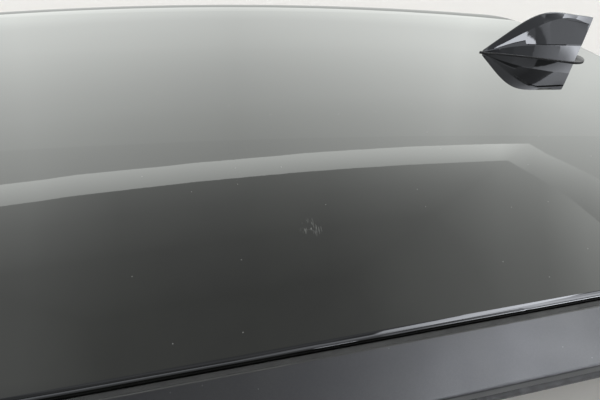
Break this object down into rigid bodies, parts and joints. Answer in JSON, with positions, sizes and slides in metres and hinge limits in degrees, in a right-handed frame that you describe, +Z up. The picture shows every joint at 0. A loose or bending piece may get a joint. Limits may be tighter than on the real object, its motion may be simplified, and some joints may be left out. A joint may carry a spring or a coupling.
{
  "type": "vehicle roof assembly",
  "caption": "Gloss black crowned vehicle roof panel with painted side rails, cross members, pillar stubs, tailgate hinges and a fin antenna.",
  "frame": {"origin": "on the centre line, in the plane where the six pillars are cut, below the roof's highest point", "axes": "+X to the rear, +Y to the car's right, +Z up"},
  "size_m": [1.8199, 1.3124, 0.268],
  "materials": {
    "gloss_black_paint": "gloss clear coat",
    "grey_metallic_paint": "metallic under clear coat",
    "grey_primer": "satin dip primer",
    "painted_forging": "satin black",
    "plated_steel": "zinc plated",
    "black_rubber": "matt",
    "grey_mastic": "matt",
    "dark_gloss_cover": "painted gloss"
  },
  "bodies": {
    "roof": {"antenna_cover": "dark_gloss_cover", "antenna_gasket": "black_rubber", "antenna_nut": "plated_steel", "antenna_stud": "plated_steel", "ditch_moulding_left": "black_rubber", "ditch_moulding_right": "black_rubber", "door_seal_front_left": "black_rubber", "door_seal_front_right": "black_rubber", "door_seal_rear_left": "black_rubber", "door_seal_rear_right": "black_rubber", "front_header": "grey_primer", "hinge_base_left": "painted_forging", "hinge_base_right": "painted_forging", "hinge_pin_left": "plated_steel", "hinge_pin_right": "plated_steel", "mastic_centre": "grey_mastic", "mastic_front": "grey_mastic", "mastic_rear": "grey_mastic", "pillar_a_left": "grey_primer", "pillar_a_right": "grey_primer", "pillar_b_left": "grey_primer", "pillar_b_right": "grey_primer", "pillar_c_left": "grey_primer", "pillar_c_right": "grey_primer", "rear_gutter": "grey_primer", "rear_header": "grey_primer", "roof_bow_centre": "grey_primer", "roof_bow_front": "grey_primer", "roof_bow_rear": "grey_primer", "roof_skin": "gloss_black_paint", "side_rail_inner_left": "grey_primer", "side_rail_inner_right": "grey_primer", "side_rail_outer_left": "grey_metallic_paint", "side_rail_outer_right": "grey_metallic_paint", "tailgate_seal": "black_rubber"},
    "leaf_left": {"hinge_leaf_left": "painted_forging"},
    "leaf_right": {"hinge_leaf_right": "painted_forging"}
  },
  "joints": [
    {"name": "tailgate_hinge_left", "type": "hinge", "parent": "roof", "child": "leaf_left", "pos_m": [0.91556, -0.265, 0.14943], "axis": [0, -1, 0], "range_deg": [0, 85]},
    {"name": "tailgate_hinge_right", "type": "hinge", "parent": "roof", "child": "leaf_right", "pos_m": [0.91556, 0.265, 0.14943], "axis": [0, -1, 0], "range_deg": [0, 85]}
  ]
}
